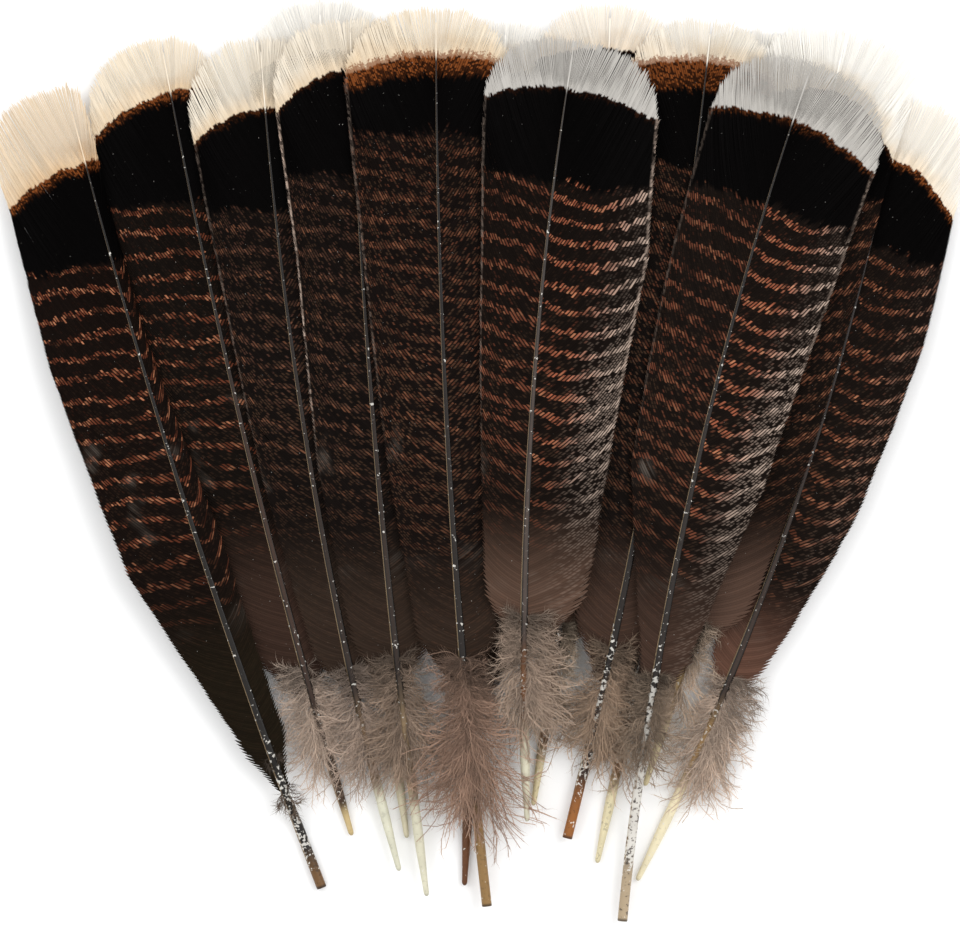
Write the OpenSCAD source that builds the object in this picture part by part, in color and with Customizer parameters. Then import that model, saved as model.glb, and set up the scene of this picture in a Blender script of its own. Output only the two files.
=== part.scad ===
// A fan of loose tail feathers, the large feathers that quill pens are cut from.
// Each feather is a shaft, a left vane, a right vane and a tuft of down.
// The feathers lie in layers that follow one low dome around the fan's centre,
// so a feather can be turned about its quill end and stay clear of the others.
// Millimetres, +Z up, table at z = 0, tips towards +Y.

/* [Fan] */
// Point that the quills fan out from, across the fan
fan_x = -10; // [-20:1:0]
// Point that the quills fan out from, behind the quill ends
fan_y = -324; // [-340:2:-310]
// Radius from that point where the vanes begin to rise over the pile
dome_in = 200; // [190:5:210]
// Radius of the feather tips
dome_out = 520; // [505:5:530]
// Height of the pile's middle over its ends
dome_h = 5; // [3:0.5:8]

/* [Layers] */
// Height of the lowest vanes over the table near the quills
rest_quill = 1.9; // [1.8:0.1:2.5]
// Height of the lowest vanes over the table at the tips
rest_tip = 0.6; // [0.5:0.1:1]
// Height from one layer to the next near the quills
gap_quill = 3.0; // [2.9:0.1:3.5]
// Height from one layer to the next at the tips
gap_tip = 1.9; // [1.8:0.1:2.4]

/* [Shafts] */
// Radius of the round bare quill
quill_r = 2; // [1.8:0.1:2.1]
// Length of the straight round stretch at the quill's end
quill_straight = 22; // [18:1:26]
// Radius of the hollow in a quill that is cut open
hollow_r = 1.3; // [1:0.1:1.5]
// Depth of that hollow
hollow_depth = 12; // [6:1:16]
// Width of the shaft where the vanes begin
shaft_w = 3.4; // [2.8:0.2:3.8]
// Height of the shaft where the vanes begin
shaft_h = 2.4; // [2:0.1:2.6]
// Width of the shaft at its thin end
shaft_tip_w = 0.8; // [0.6:0.1:1.2]
// Height of the shaft at its thin end
shaft_tip_h = 0.6; // [0.5:0.1:0.8]
// How far the shaft stops short of the feather's tip
shaft_short = 6; // [4:1:10]

/* [Vanes] */
// Thickness of a vane
vane_t = 0.6; // [0.4:0.1:0.8]
// Length over which a vane rounds off at the tip
tip_round = 34; // [26:1:40]
// Length over which a vane widens at its base
base_round = 26; // [18:1:34]

/* [Down] */
// Thickness of a tuft of down
down_t = 1.2; // [0.8:0.1:1.4]
// How far the tuft reaches back along the quill
down_back = 26; // [16:2:30]
// How far the tuft reaches forward under the vanes
down_front = 30; // [20:2:40]

/* [Hidden] */
// One row for each feather, from the left edge of the fan to the right:
// quill end x and y, heading from +Y towards +X, turn over the length, length,
// distance from the quill end to the vanes, layer, height of the quill's end,
// 1 where the quill is cut open, half widths of the left vane and of the right
// vane at the four stations below, and half widths of the down on each side.
FEATHERS = [
    [-64, -171, -21, 6.5, 332, 42, 2, 2, 1, [12, 31, 36, 34], [9, 10, 5, 5], [3, 3]],
    [-52, -150, -16.5, 6, 328, 56, 1, 2, 0, [20, 30, 34, 34], [14, 16, 18, 20], [12, 10]],
    [-33, -164, -15, 11, 338, 70, 2, 4.5, 0, [14, 20, 25, 31], [14, 18, 22, 24], [10, 8]],
    [-30, -151, -8, 4, 337, 66, 0, 2, 0, [20, 26, 28, 30], [20, 24, 26, 28], [8, 8]],
    [-22, -174, -8, 6, 352, 82, 3, 5.5, 0, [18, 24, 26, 32], [16, 22, 26, 30], [10, 10]],
    [2, -178, -6.5, 6.5, 359, 86, 4, 6.5, 1, [18, 25, 31, 37], [16, 22, 27, 30], [14, 7]],
    [-7, -170, 2.5, 0.5, 346, 72, 1, 2, 0, [20, 26, 30, 32], [20, 26, 28, 30], [8, 8]],
    [18, -144, -2.5, 12, 313, 68, 5, 8.5, 0, [16, 20, 26, 33], [26, 33, 41, 38], [7, 14]],
    [20.5, -138, 9, -7, 322, 60, 2, 2, 0, [18, 24, 28, 30], [18, 24, 26, 28], [8, 8]],
    [34, -151, 14, -8, 332, 64, 3, 4.5, 1, [18, 26, 30, 31], [16, 22, 26, 28], [10, 10]],
    [46, -161, 12, 0.5, 337, 66, 0, 2, 0, [20, 26, 30, 32], [20, 26, 30, 32], [8, 8]],
    [56, -184, 5.5, 14, 352, 86, 4, 5.5, 1, [9, 26, 31, 33], [14, 28, 35, 38], [10, 12]],
    [65, -130, 18, -6, 307, 56, 2, 5, 0, [18, 24, 28, 30], [20, 26, 28, 30], [8, 7]],
    [62, -168, 26.5, -15.5, 328, 76, 1, 2, 0, [12, 20, 24, 26], [13, 25, 31, 30], [6, 14]],
];
PIECES = ["shaft", "left_vane", "right_vane", "down"];
X = 0;
Y = 1;
HEADING = 2;
TURN = 3;
LENGTH = 4;
VANES_AT = 5;
LAYER = 6;
END_Z = 7;
CUT = 8;
LEFT = 9;
RIGHT = 10;
DOWN = 11;
// Where along a vane its four half widths stand, as shares of its length
STATIONS = [0.1, 0.35, 0.65, 0.9];
SHAFT_SIDES = 8;
SHAFT_RINGS = 27;
VANE_RINGS = 17;
DOWN_RINGS = 7;
ROUND = 48;
// The rounding's power: 2 is an ellipse, more is squarer
TIP_POWER = 2.5;
// Share of the shaft's height that stands above the vanes
RIDGE = 0.35;
// How deep a vane is let into the shaft
LET_IN = 0.3;
// Narrowest that a vane becomes, where its two halves meet at the tip
LEAST_W = 1.5;
// Gap between the two halves past the end of the shaft
PARTING = 0.15;
// The round quill runs this far into the swept shaft
JOIN = 2;
// Top of the down, under the middle of the vanes
DOWN_DROP = 0.4;
// The down starts at least this far past the straight stretch of the quill
BARE = 3;

function name(n, piece) = str("feather_", n < 9 ? "0" : "", n + 1, "_", piece);

function mix(a, b, t) = a + (b - a) * t;
function share(v, a, b) = min(1, max(0, (v - a) / (b - a)));
function ease(t) = t * t * (3 - 2 * t);

// A feather's middle line is an arc: its heading and its place, s from the quill's end
function heading(f, s) = f[HEADING] + f[TURN] * s / f[LENGTH];
function arc_r(f) = f[LENGTH] / f[TURN] * 180 / PI;
function middle(f, s) = let (a = f[HEADING], b = heading(f, s)) [
    f[X] + (cos(a) - cos(b)) * arc_r(f),
    f[Y] + (sin(b) - sin(a)) * arc_r(f)
];
function rightward(f, s) = [cos(heading(f, s)), -sin(heading(f, s))];
function plan(f, s, u) = middle(f, s) + u * rightward(f, s);

// Height of a layer over the table, which depends only on the distance from the fan's centre
function layer_z(f, p) = let (
    r = norm(p - [fan_x, fan_y]),
    t = share(r, dome_in, dome_out),
    gap = mix(gap_quill, gap_tip, ease(share(r, dome_in + 60, dome_out - 20)))
) mix(rest_quill, rest_tip, t) + dome_h * sin(180 * t) + f[LAYER] * gap;

// Height of the middle line: level at the quill's end, then up to the layer
function shaft_z(f, s) = let (
    t = ease(share(s, quill_straight, f[VANES_AT]))
) mix(f[END_Z], layer_z(f, middle(f, s)), t);

// Half width of one vane, from its base to its rounded tip
function between(w, v) = v < STATIONS[1] ? mix(w[0], w[1], share(v, STATIONS[0], STATIONS[1]))
    : v < STATIONS[2] ? mix(w[1], w[2], share(v, STATIONS[1], STATIONS[2]))
    : mix(w[2], w[3], share(v, STATIONS[2], STATIONS[3]));
function vane_w(f, w, s) = let (
    full = between(w, share(s, f[VANES_AT], f[LENGTH])),
    tip = share(s, f[LENGTH] - tip_round, f[LENGTH]),
    base = share(s, f[VANES_AT], f[VANES_AT] + base_round)
) max(LEAST_W, full * pow(1 - pow(tip, TIP_POWER), 1 / TIP_POWER) * mix(0.3, 1, ease(base)));

// Width and height of the shaft
function along(f, s) = share(s, f[VANES_AT], f[LENGTH] - shaft_short);
function width(f, s) = s < f[VANES_AT]
    ? mix(2 * quill_r, shaft_w, ease(share(s, quill_straight, f[VANES_AT])))
    : mix(shaft_w, shaft_tip_w, along(f, s));
function height(f, s) = s < f[VANES_AT]
    ? mix(2 * quill_r, shaft_h, ease(share(s, quill_straight, f[VANES_AT])))
    : mix(shaft_h, shaft_tip_h, along(f, s));
function sunk(f, s) = (0.5 - RIDGE) * height(f, s) * ease(share(s, quill_straight, f[VANES_AT]));

// A closed skin over rings of points, which run clockwise seen from the quill's end
module skin(rings) {
    n = len(rings[0]);
    last = (len(rings) - 1) * n;
    polyhedron(
        points = [for (r = rings) for (p = r) p],
        faces = concat(
            [[for (j = [0:n - 1]) j]],
            [for (i = [0:len(rings) - 2]) for (j = [0:n - 1]) let (k = (j + 1) % n)
                [i * n + k, i * n + j, (i + 1) * n + j]],
            [for (i = [0:len(rings) - 2]) for (j = [0:n - 1]) let (k = (j + 1) % n)
                [i * n + k, (i + 1) * n + j, (i + 1) * n + k]],
            [[for (j = [n - 1:-1:0]) last + j]]
        )
    );
}

module quill(f, r, length) {
    translate([f[X], f[Y], f[END_Z]])
        rotate([-90, 0, -f[HEADING]])
            cylinder(r = r, h = length, $fn = ROUND);
}

module shaft(f) {
    to = f[LENGTH] - shaft_short;
    rings = [for (i = [0:SHAFT_RINGS - 1]) let (
        s = i == 0 ? quill_straight - JOIN : mix(quill_straight, to, (i - 1) / (SHAFT_RINGS - 2)),
        z = shaft_z(f, s) - sunk(f, s)
    ) [for (j = [0:SHAFT_SIDES - 1]) let (
        a = -360 * (j + 0.5) / SHAFT_SIDES,
        p = plan(f, s, width(f, s) / 2 * cos(a))
    ) [p[0], p[1], z + height(f, s) / 2 * sin(a)]]];
    color("tan")
        difference() {
            union() {
                quill(f, quill_r, quill_straight);
                skin(rings);
            }
            if (f[CUT] == 1)
                quill(f, hollow_r, hollow_depth);
        }
}

// side is -1 for the left vane and 1 for the right vane
module vane(f, side) {
    w = side < 0 ? f[LEFT] : f[RIGHT];
    rings = [for (i = [0:VANE_RINGS - 1]) let (
        s = mix(f[VANES_AT], f[LENGTH], sin(90 * i / (VANE_RINGS - 1))),
        inner = s > f[LENGTH] - shaft_short ? PARTING : max(PARTING, width(f, s) / 2 - LET_IN),
        outer = max(inner + LEAST_W, vane_w(f, w, s)),
        across = [inner, (inner + outer) / 2, outer, outer, (inner + outer) / 2, inner]
    ) [for (j = [0:5]) let (
        p = plan(f, s, side * across[j]),
        up = side * (j < 3 ? 1 : -1)
    ) [p[0], p[1], layer_z(f, p) + up * vane_t / 2]]];
    color("saddlebrown") skin(side < 0 ? [for (r = rings) [for (j = [5:-1:0]) r[j]]] : rings);
}

module down(f) {
    from = max(f[VANES_AT] - down_back, quill_straight + BARE);
    to = f[VANES_AT] + down_front;
    rings = [for (i = [0:DOWN_RINGS - 1]) let (
        t = i / (DOWN_RINGS - 1),
        s = mix(from, to, t),
        wide = mix(0.35, 1, sin(180 * t)),
        left = -f[DOWN][0] * wide,
        right = f[DOWN][1] * wide,
        z = shaft_z(f, s) - DOWN_DROP - down_t / 2,
        h = down_t / 2
    ) [for (c = [[left, 0], [left / 2, h], [right / 2, h], [right, 0], [right / 2, -h], [left / 2, -h]])
        let (p = plan(f, s, c[0])) [p[0], p[1], z + c[1]]]];
    color("gray") skin(rings);
}

for (n = [0:len(FEATHERS) - 1]) {
    shaft(FEATHERS[n]);
    vane(FEATHERS[n], -1);
    vane(FEATHERS[n], 1);
    down(FEATHERS[n]);
}
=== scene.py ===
"""A fan of fourteen loose tail feathers: barred vanes with pale tips, horny shafts and tufts of down."""

import math

import bmesh
import bpy
import numpy as np
from bpy.props import FloatProperty, FloatVectorProperty, IntProperty, PointerProperty
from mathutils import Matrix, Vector


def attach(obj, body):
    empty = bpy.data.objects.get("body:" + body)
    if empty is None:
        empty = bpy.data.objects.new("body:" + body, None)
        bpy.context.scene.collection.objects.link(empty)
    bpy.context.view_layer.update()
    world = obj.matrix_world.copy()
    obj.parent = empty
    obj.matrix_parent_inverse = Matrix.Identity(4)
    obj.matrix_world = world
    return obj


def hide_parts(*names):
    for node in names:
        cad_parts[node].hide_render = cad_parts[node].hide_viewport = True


bl_info = {
    "name": "Feather Fan",
    "version": (1, 0, 0),
    "blender": (4, 5, 0),
    "location": "View3D > Sidebar > Feather Fan",
    "description": "Builds a fan of loose tail feathers with barbs, shafts and down",
    "category": "Object",
}

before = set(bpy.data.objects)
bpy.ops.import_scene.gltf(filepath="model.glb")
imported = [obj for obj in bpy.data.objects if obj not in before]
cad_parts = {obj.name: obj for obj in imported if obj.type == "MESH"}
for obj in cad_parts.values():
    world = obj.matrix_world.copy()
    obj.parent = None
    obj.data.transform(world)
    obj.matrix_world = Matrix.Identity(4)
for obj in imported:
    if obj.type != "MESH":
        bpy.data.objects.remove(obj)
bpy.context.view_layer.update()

MM = 0.001

# Where along a vane its four half widths stand, as shares of its length
WIDTHS_AT = (0.1, 0.35, 0.65, 0.9)
# Share of the shaft's height that stands above the vanes
RIDGE = 0.35
# How square a feather's tip is, and that of a blunt one
ROUND_TIP = 2.6
BLUNT_TIP = 3.3
# Loose barbs that stand proud of the tip, in millimetres, on some feathers
PROUD = {0: 5.0, 10: 3.0, 12: 5.0, 13: 4.0}
# Stations along a barb; the last stretch is its free point
STATIONS = 10
# Places along a vane at which its outline and the spacing of its barbs are worked out
SAMPLES = 400
# Angles in degrees at which barbs leave the shaft on the left and right vanes, and the
# shares of the vane's length where they stand: steep near the quill, then almost along it
ANGLES = {-1: (60, 38, 22, 19), 1: (62, 40, 25, 20)}
ANGLES_AT = (0, 0.25, 0.6, 1)
# Distances from a feather's tip, in millimetres: where its last barbs leave the shaft,
# where barbs begin to gather towards the tip, and where they begin to straighten
LAST_ROOT = 22
GATHER_FROM = 125
STRAIGHT_FROM = 150
# Length at the foot of a vane whose barbs hang loose, in millimetres
LOOSE_FOOT = 26
# Splits in each vane
SPLITS = 3
# Thickness of a vane at its seams, in millimetres
VANE_THICK = 0.15
# Spacing of the bars, and length of the dashes along a barb in the stipple and in the
# rust fringe, in millimetres
BAR_GAP = 8.6
DASH = 1.4
FINE_DASH = 0.8
# Sides of a shaft's section
SIDES = 18
# Strands of down in one lock, and points along a strand
LOCK = 4
STRAND_POINTS = 8
# Lowest that a strand of down lies over the table, in millimetres
STRAND_LOW = 0.6
# Focal length and width of the camera's sensor in millimetres, and width of its view at
# the table, in metres
LENS = 200
SENSOR = 36
VIEW_WIDTH = 0.384

# One row for each feather, from the left edge of the fan to the right, in millimetres:
# quill end x and y, heading from +Y towards +X, turn over the length, length, distance
# from the quill end to the vanes, layer, height of the quill's end, 1 where the quill is
# cut open, half widths of the left vane and of the right vane
FEATHERS = [
    (-64, -171, -21, 6.5, 332, 42, 2, 2, 1, (12, 31, 36, 34), (9, 10, 5, 5)),
    (-52, -150, -16.5, 6, 328, 56, 1, 2, 0, (20, 30, 34, 34), (14, 16, 18, 20)),
    (-33, -164, -15, 11, 338, 70, 2, 4.5, 0, (14, 20, 25, 31), (14, 18, 22, 24)),
    (-30, -151, -8, 4, 337, 66, 0, 2, 0, (20, 26, 28, 30), (20, 24, 26, 28)),
    (-22, -174, -8, 6, 352, 82, 3, 5.5, 0, (18, 24, 26, 32), (16, 22, 26, 30)),
    (2, -178, -6.5, 6.5, 359, 86, 4, 6.5, 1, (18, 25, 31, 37), (16, 22, 27, 30)),
    (-7, -170, 2.5, 0.5, 346, 72, 1, 2, 0, (20, 26, 30, 32), (20, 26, 28, 30)),
    (18, -144, -2.5, 12, 313, 68, 5, 8.5, 0, (16, 20, 26, 33), (26, 33, 41, 38)),
    (20.5, -138, 9, -7, 322, 60, 2, 2, 0, (18, 24, 28, 30), (18, 24, 26, 28)),
    (34, -151, 14, -8, 332, 64, 3, 4.5, 1, (18, 26, 30, 31), (16, 22, 26, 28)),
    (46, -161, 12, 0.5, 337, 66, 0, 2, 0, (20, 26, 30, 32), (20, 26, 30, 32)),
    (56, -184, 5.5, 14, 352, 86, 4, 5.5, 1, (9, 26, 31, 33), (14, 28, 35, 38)),
    (65, -130, 18, -6, 307, 56, 2, 5, 0, (18, 24, 28, 30), (20, 26, 28, 30)),
    (62, -168, 26.5, -15.5, 328, 76, 1, 2, 0, (12, 20, 24, 26), (13, 25, 31, 30)),
]

# Markings of each feather, in millimetres from its tip: depth of the pale tip, how much
# deeper it is at the left edge and at the right edge, width and strength of the rust
# fringe under it, end of the black band, strength of the bars and of the stipple,
# paleness of the bars' outer ends, strength of the pale margin, distance at which the
# bars have died out, and hex colours of the pale tip, the ground under the black band,
# the ground near the quill, and the bars near the shaft
MARKINGS = [
    (27, 10, 0, 2.5, 1.0, 68, 1.0, 0.15, 0.0, 0.0, 230, "dfcbb0", "120b08", "1b150d", "6a3826"),
    (22, 12, 4, 2.0, 0.9, 66, 0.9, 0.25, 0.1, 0.0, 220, "e8dac4", "110c09", "362720", "6a3826"),
    (28, 13, 6, 1.0, 0.3, 70, 0.35, 0.5, 0.0, 0.2, 220, "e6dccb", "110c0a", "30251e", "5f4034"),
    (20, 8, 8, 2.0, 0.5, 64, 0.4, 0.4, 0.0, 0.0, 220, "f6f2ea", "110c0a", "2e231c", "5f4034"),
    (20, 17, 6, 0.5, 0.2, 63, 0.35, 0.48, 0.0, 1.0, 230, "eadfcd", "110c0a", "30251e", "5f4034"),
    (19, 8, 5, 6.0, 1.0, 51, 0.4, 0.65, 0.0, 0.2, 240, "e8dac4", "120c0a", "2f241d", "6e4230"),
    (20, 8, 8, 2.0, 0.5, 60, 0.4, 0.5, 0.0, 0.0, 220, "f6f2ea", "110c0a", "30251e", "5f4034"),
    (20, 8, 8, 0.3, 0.1, 58, 1.0, 0.35, 1.0, 0.6, 215, "b9b5af", "130d0a", "554136", "9a5840"),
    (18, 6, 6, 0.3, 0.1, 56, 0.6, 0.4, 0.3, 0.0, 215, "f3e9da", "130d0a", "4a382e", "74422e"),
    (17, 6, 6, 10.0, 0.9, 61, 0.4, 0.7, 0.0, 0.0, 230, "e9e1d3", "110c0a", "3f2f27", "6e4230"),
    (20, 8, 8, 2.0, 0.5, 60, 0.5, 0.5, 0.0, 0.0, 220, "f6f2ea", "110c0a", "3f2f27", "6e4230"),
    (25, 5, 10, 1.0, 0.4, 62, 1.0, 0.35, 1.0, 0.3, 230, "b9b5af", "150f0c", "3f2f27", "9a5840"),
    (20, 8, 22, 1.0, 0.3, 60, 0.6, 0.4, 0.0, 0.0, 215, "f6f2ea", "130d0a", "544036", "6e4230"),
    (22, 6, 18, 1.5, 0.9, 60, 0.75, 0.3, 0.2, 0.0, 225, "f2ebdf", "150f0c", "604438", "74422e"),
]

# Horn of each shaft: hex colours of the quill's end, of the bare quill, of the shaft
# between the vanes and of its upper part, length of the end's colour in millimetres,
# and how flaky the bare quill is
HORNS = [
    ("6a4c2c", "1d1815", "171310", "100d0c", 12, 0.9),
    ("bfa878", "3a2819", "3a281e", "15110f", 12, 0.3),
    ("cfcdb8", "80664a", "2c2019", "15110f", 34, 0.3),
    ("c9c1a6", "a98e64", "2c2019", "15110f", 36, 0.1),
    ("cfcbb4", "8f785a", "2c2019", "15110f", 40, 0.3),
    ("86683f", "4b3520", "1f1814", "151110", 40, 0.5),
    ("5f3a20", "40281a", "241b15", "151110", 36, 0.3),
    ("c9c5ae", "7a4e2a", "453a34", "3a3430", 38, 0.3),
    ("cfc19a", "5c3f24", "2c2019", "15110f", 20, 0.7),
    ("8a5526", "2a1a12", "1f1814", "15110f", 20, 1.0),
    ("d3c8a4", "6c4a28", "3a2b22", "15110f", 30, 0.7),
    ("a8957a", "77706a", "241d19", "15110f", 20, 1.45),
    ("cfc19a", "a98e60", "3a2b22", "15110f", 30, 0.2),
    ("e0d5b4", "9a7a4c", "33261f", "2a2320", 46, 0.3),
]

# Down of each feather: how far it reaches to the left, to the right and back along the
# quill, in millimetres, the number of its strands, and its hex colour
TUFTS = [
    (6, 5, 12, 30, "6b5b4d"),
    (22, 13, 30, 300, "c2ad9c"),
    (20, 14, 30, 310, "b5a090"),
    (10, 10, 20, 90, "a58f7e"),
    (18, 19, 32, 350, "a08a78"),
    (23, 19, 46, 680, "a58774"),
    (14, 14, 26, 130, "a08a7a"),
    (14, 25, 32, 420, "b09a88"),
    (12, 14, 28, 180, "b8a48e"),
    (14, 18, 30, 310, "ad947e"),
    (15, 12, 30, 230, "b39c88"),
    (14, 12, 24, 220, "93806e"),
    (14, 14, 26, 200, "bea893"),
    (13, 25, 34, 390, "d2bba8"),
]

# Names of the numbers and of the colours in a row of MARKINGS
MARKS = ("Pale", "Sag left", "Sag right", "Rust width", "Rust", "Black end", "Bars", "Stipple",
         "Pale ends", "Margin", "Bars end")
MARK_COLOURS = ("Pale colour", "High ground", "Low ground", "Bar colour")


def linear(value):
    """Turns an sRGB hex colour into linear red, green, blue and alpha."""
    parts = [int(value[k : k + 2], 16) / 255 for k in (0, 2, 4)]
    return [c / 12.92 if c <= 0.04045 else ((c + 0.055) / 1.055) ** 2.4 for c in parts] + [1.0]


def mix(a, b, t):
    return a + (b - a) * t


def share(v, a, b):
    return np.clip((v - a) / (b - a), 0, 1)


def ease(t):
    return t * t * (3 - 2 * t)


def metres(name, description, default):
    return FloatProperty(name=name, description=description, default=default, unit="LENGTH")


def colour(name, description, value):
    return FloatVectorProperty(
        name=name, description=description, default=linear(value), size=4, subtype="COLOR"
    )


class FanSizes(bpy.types.PropertyGroup):
    """Sizes of the pile and of the shafts."""

    fan_x: metres("Fan centre X", "Point the quills fan out from, across", -0.010)
    fan_y: metres("Fan centre Y", "Point the quills fan out from, behind", -0.324)
    dome_in: metres("Pile starts", "Radius where the vanes begin to rise", 0.200)
    dome_out: metres("Pile ends", "Radius of the feather tips", 0.520)
    dome_h: metres("Pile height", "Height of the middle of the pile over its ends", 0.005)
    rest_quill: metres("Rest at quills", "Height of the lowest vanes near the quills", 0.0019)
    rest_tip: metres("Rest at tips", "Height of the lowest vanes at the tips", 0.0006)
    gap_quill: metres("Layer gap at quills", "From one layer to the next near the quills", 0.003)
    gap_tip: metres("Layer gap at tips", "From one layer to the next at the tips", 0.0019)
    quill_r: metres("Quill radius", "Radius of the round bare quill", 0.002)
    quill_straight: metres("Straight quill", "Length of the straight stretch at the end", 0.022)
    hollow_r: metres("Hollow radius", "Radius of the hollow in a cut quill", 0.0013)
    hollow_depth: metres("Hollow depth", "Depth of the hollow in a cut quill", 0.012)
    shaft_w: metres("Shaft width", "Width where the vanes begin", 0.0034)
    shaft_h: metres("Shaft height", "Height where the vanes begin", 0.0024)
    shaft_tip_w: metres("Shaft tip width", "Width at the thin end", 0.0008)
    shaft_tip_h: metres("Shaft tip height", "Height at the thin end", 0.0006)
    shaft_short: metres("Shaft stops short", "How far the shaft ends before the tip", 0.006)
    tip_round: metres("Tip rounding", "Length over which a vane rounds off", 0.034)
    base_round: metres("Base rounding", "Length over which a vane widens", 0.026)


class BarbSizes(bpy.types.PropertyGroup):
    """Sizes of the barbs that make up a vane."""

    step_base: metres("Barb step at base", "From one barb to the next along the shaft", 0.0012)
    step_tip: metres("Barb step at tip", "From one barb to the next along the shaft", 0.00062)
    marks_base: metres("Dash step at base", "From one marked barb to the next near the quill", 0.0009)
    marks_tip: metres("Dash step at tip", "From one marked barb to the next near the tip", 0.0015)
    ridge: metres("Barb ridge", "Height of a barb over the seam beside it", 0.0001)
    fringe: metres("Fringe", "Length of a barb's free point at the vane's edge", 0.002)
    free_width: FloatProperty(
        name="Free width",
        description="Width of an unzipped pale barb, as a share of its step",
        default=0.74,
        min=0.2,
        max=1,
        subtype="FACTOR",
    )
    seed: IntProperty(name="Seed", description="Start of the random numbers", default=7)


class DownSizes(bpy.types.PropertyGroup):
    """Sizes of the strands of down."""

    strand: metres("Strand radius", "Radius of a strand at its root", 0.00018)
    barbule: metres("Barbule length", "Length of the fine hairs on a strand", 0.0042)
    hair: metres("Barbule radius", "Radius of a fine hair at its root", 0.00008)
    hairs: IntProperty(name="Hairs", description="Fine hairs on each strand", default=18)
    seed: IntProperty(name="Seed", description="Start of the random numbers", default=11)


class FanColours(bpy.types.PropertyGroup):
    """Colours that the feathers share."""

    black: colour("Black band", "Black band under the pale tip", "040303")
    rust: colour("Rust", "Rust fringe and stipple", "7c4420")
    stipple: colour("Stipple", "Grey-brown stipple", "4c3729")
    ochre: colour("Ochre", "Lightest dashes of a bar", "b27656")
    glint: colour("Glint", "Barbs that catch the light", "857a70")
    bar_edge: colour("Bar ends", "Outer ends of the bars", "b8a394")
    # one pale colour for dust, for flakes, and for the painted sheen glints among the barbs
    dust_and_sheen: colour("Dust", "Dust and flakes on barbs and horn", "d9d5cd")


class Feather:
    """One feather's middle line, height and widths, in millimetres. s runs from the quill's
    end, and u runs across, to the right."""

    def __init__(self, n, sizes):
        (self.x, self.y, head, turn, self.length, self.base, self.layer, self.end_z, self.cut,
         left, right) = FEATHERS[n]
        self.head = math.radians(head)
        self.turn = math.radians(turn)
        self.widths = {-1: left, 1: right}
        self.proud = PROUD.get(n, 0.0)
        self.squareness = BLUNT_TIP if self.proud > 3.5 else ROUND_TIP
        for name in sizes.bl_rna.properties.keys():
            if name not in ("rna_type", "name"):
                setattr(self, name, getattr(sizes, name) / MM)

    def plan(self, s, u):
        """x and y of a place on the feather."""
        end = self.head + self.turn * s / self.length
        radius = self.length / self.turn
        x = self.x + (math.cos(self.head) - np.cos(end)) * radius + u * np.cos(end)
        y = self.y + (np.sin(end) - math.sin(self.head)) * radius - u * np.sin(end)
        return x, y

    def layer_z(self, x, y):
        """Height of the feather's layer, which depends only on the distance from the fan's
        centre, so that feathers of different layers stay clear of each other."""
        r = np.hypot(x - self.fan_x, y - self.fan_y)
        t = share(r, self.dome_in, self.dome_out)
        # The layers draw together between 60 mm out from the start and 20 mm in from the tips
        gap = mix(self.gap_quill, self.gap_tip, ease(share(r, self.dome_in + 60, self.dome_out - 20)))
        return mix(self.rest_quill, self.rest_tip, t) + self.dome_h * np.sin(np.pi * t) + self.layer * gap

    def vane_z(self, s, u):
        return self.layer_z(*self.plan(s, u))

    def shaft_z(self, s):
        t = ease(share(s, self.quill_straight, self.base))
        return mix(self.end_z, self.vane_z(s, 0), t)

    def half_width(self, s, side, rounded=True):
        """Half width of one vane, which starts at three tenths of its width."""
        full = np.interp(share(s, self.base, self.length), WIDTHS_AT, self.widths[side])
        full = full * mix(0.3, 1, ease(share(s, self.base, self.base + self.base_round)))
        if not rounded:
            return full
        tip = share(s, self.length - self.tip_round, self.length)
        power = self.squareness
        return full * (1 - tip**power) ** (1 / power)

    def along(self, s):
        return share(s, self.base, self.length - self.shaft_short)

    def shaft_width(self, s):
        bare = mix(2 * self.quill_r, self.shaft_w, ease(share(s, self.quill_straight, self.base)))
        return np.where(s < self.base, bare, mix(self.shaft_w, self.shaft_tip_w, self.along(s)))

    def shaft_height(self, s):
        bare = mix(2 * self.quill_r, self.shaft_h, ease(share(s, self.quill_straight, self.base)))
        return np.where(s < self.base, bare, mix(self.shaft_h, self.shaft_tip_h, self.along(s)))

    def shaft_middle(self, s):
        """Height of the middle of the shaft's section."""
        sunk = (0.5 - RIDGE) * self.shaft_height(s) * ease(share(s, self.quill_straight, self.base))
        return self.shaft_z(s) - sunk


def feed(tree, node, inputs):
    """Sets or links a node's inputs."""
    for key, value in inputs.items():
        if isinstance(value, bpy.types.NodeSocket):
            tree.links.new(value, node.inputs[key])
        else:
            node.inputs[key].default_value = value


def add(tree, kind, inputs=None, **settings):
    """Adds one node with its settings and its inputs."""
    made = tree.nodes.new(kind)
    for key, value in settings.items():
        setattr(made, key, value)
    feed(tree, made, inputs or {})
    return made


def work_out(tree, known, steps):
    """Adds a chain of sums to those known. Each step is its name, its operation, and numbers
    or names of earlier steps. A smooth step goes from 0 to 1 unless it says otherwise."""
    for name, operation, *values in steps:
        values = [known[v] if isinstance(v, str) else v for v in values]
        if operation == "SMOOTHSTEP":
            made = add(tree, "ShaderNodeMapRange", dict(enumerate(values)), interpolation_type=operation)
        elif operation == "PRODUCT":
            product = values[0]
            for value in values[1:]:
                made = add(tree, "ShaderNodeMath", {0: product, 1: value}, operation="MULTIPLY")
                product = made.outputs[0]
        else:
            made = add(tree, "ShaderNodeMath", dict(enumerate(values)), operation=operation)
        known[name] = made.outputs[0]


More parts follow.
